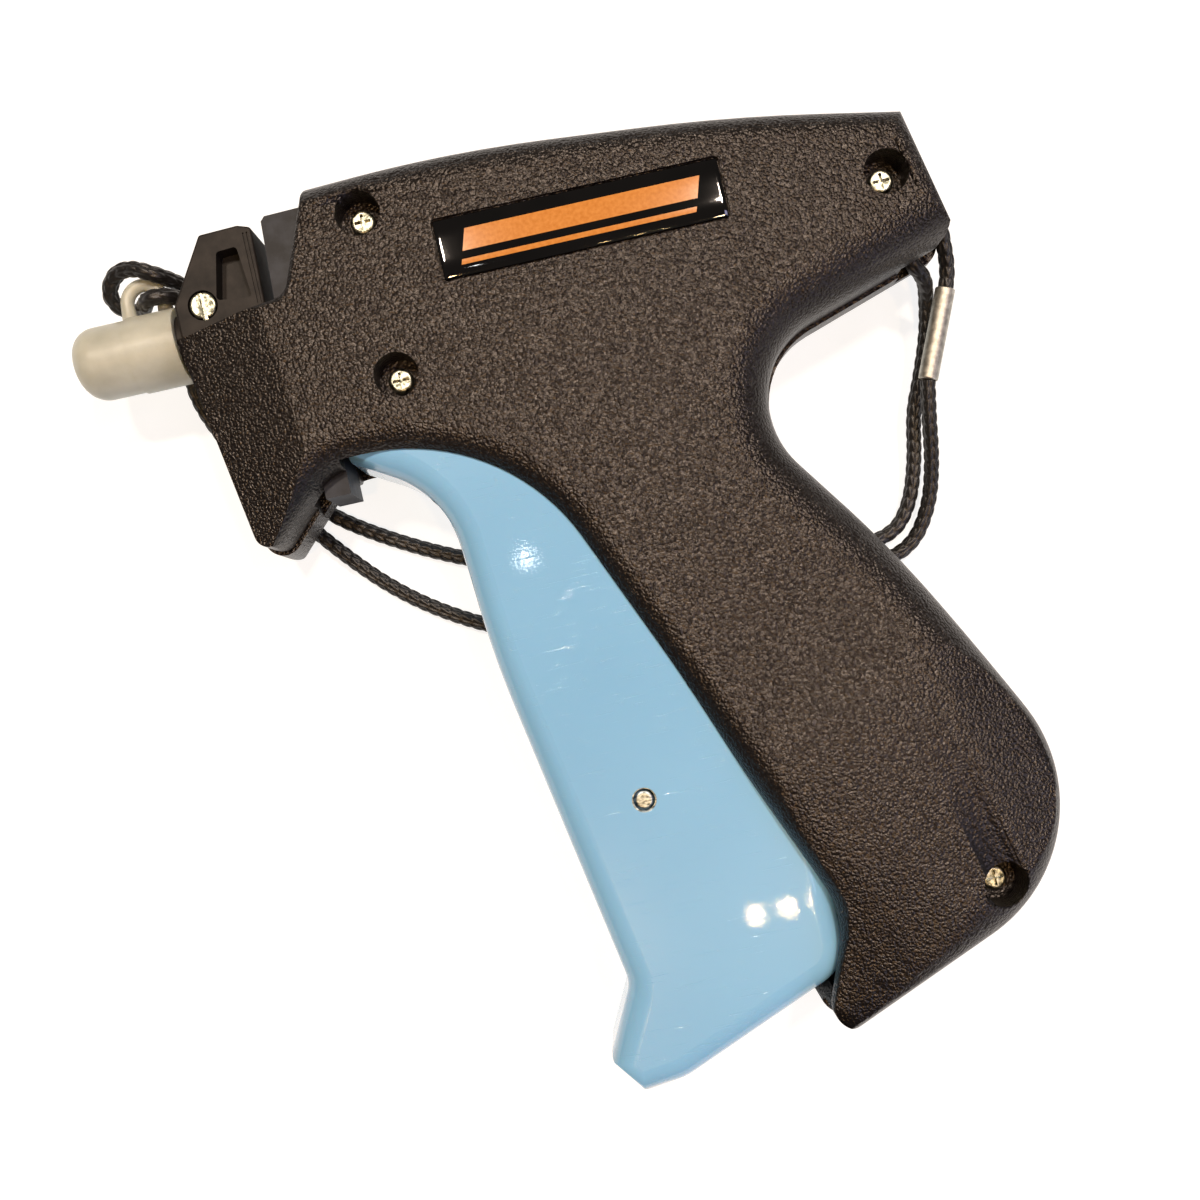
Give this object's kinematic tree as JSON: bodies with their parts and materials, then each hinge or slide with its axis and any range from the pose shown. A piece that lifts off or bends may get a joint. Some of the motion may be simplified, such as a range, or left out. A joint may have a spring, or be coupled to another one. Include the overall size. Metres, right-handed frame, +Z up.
{
  "type": "garment tag attacher",
  "caption": "Pistol-grip garment tag attacher with moulded halves, trigger, lever-driven ejector rod, needle block, capped needle and lanyard.",
  "frame": {"origin": "middle of the bottom of the tool's box without its lanyard, on the table it lies on", "axes": "the tool lies on its right side: +Z up from the table, +X from the nose back to the lanyard post, +Y from the grip's foot up to the housing's top edge"},
  "size_m": [0.1447, 0.152, 0.029],
  "materials": {
    "housing": "leather-grained dark moulding",
    "screws": "zinc plated",
    "badge": "domed gloss",
    "trigger": "sky blue gloss",
    "steel": "ground steel",
    "block": "smooth dark moulding",
    "slider": "natural acetal",
    "cap": "milky translucent",
    "cord": "black braid",
    "ferrule": "drawn tube"
  },
  "bodies": {
    "body": {"housing_left": "housing", "housing_right": "housing", "housing_screws": "screws", "badge": "badge", "needle_block": "block", "needle": "steel", "needle_hub": "block", "clip_guide": "block", "cutter_blade": "steel", "feed_wheel_axle": "steel", "retaining_pawl": "steel", "lever_pivot_pin": "steel", "lanyard_front": "cord", "lanyard_rear": "cord", "lanyard_ferrule": "ferrule"},
    "trigger": {"trigger": "trigger", "trigger_pin": "steel", "feed_pawl": "steel"},
    "lever": {"drive_lever": "steel", "lever_top_pin": "steel"},
    "slider": {"slider": "slider", "ejector_rod": "steel", "return_spring": "steel"},
    "feed_wheel": {"feed_wheel": "slider"},
    "lock_screw": {"needle_lock_screw": "screws"},
    "cap": {"needle_cap": "cap", "lanyard_bight": "cord"}
  },
  "joints": [
    {"name": "trigger_squeeze", "type": "hinge", "parent": "body", "child": "trigger", "pos_m": [-0.01943, 0.04246, 0.0145], "axis": [0, 0, 1], "range_deg": [0, 13], "stiffness_Nm_per_rad": 0.6, "springref_deg": -14.32},
    {"name": "lever_swing", "type": "hinge", "parent": "body", "child": "lever", "pos_m": [0.02807, -0.00434, 0.0145], "axis": [0, 0, 1], "range_deg": [0, 31.25]},
    {"name": "rod_stroke", "type": "slide", "parent": "body", "child": "slider", "axis": [-1, 0, 0], "range_m": [0, 0.03124], "deforming": ["return_spring"]},
    {"name": "feed_wheel_turn", "type": "hinge", "parent": "body", "child": "feed_wheel", "pos_m": [-0.03003, 0.04816, 0.0145], "axis": [0, 0, 1], "continuous": true},
    {"name": "needle_lock", "type": "hinge", "parent": "body", "child": "lock_screw", "pos_m": [-0.04763, 0.06126, 0.0145], "axis": [0, 0, 1], "range_deg": [0, 90]},
    {"name": "cap_pull", "type": "slide", "parent": "body", "child": "cap", "axis": [-1, 0, 0], "range_m": [0, 0.022]}
  ],
  "couplings": [
    {"joint": "lever_swing", "follows": "trigger_squeeze", "ratio": 2.4},
    {"joint": "rod_stroke", "follows": "trigger_squeeze", "m_per_rad": 0.13749}
  ]
}
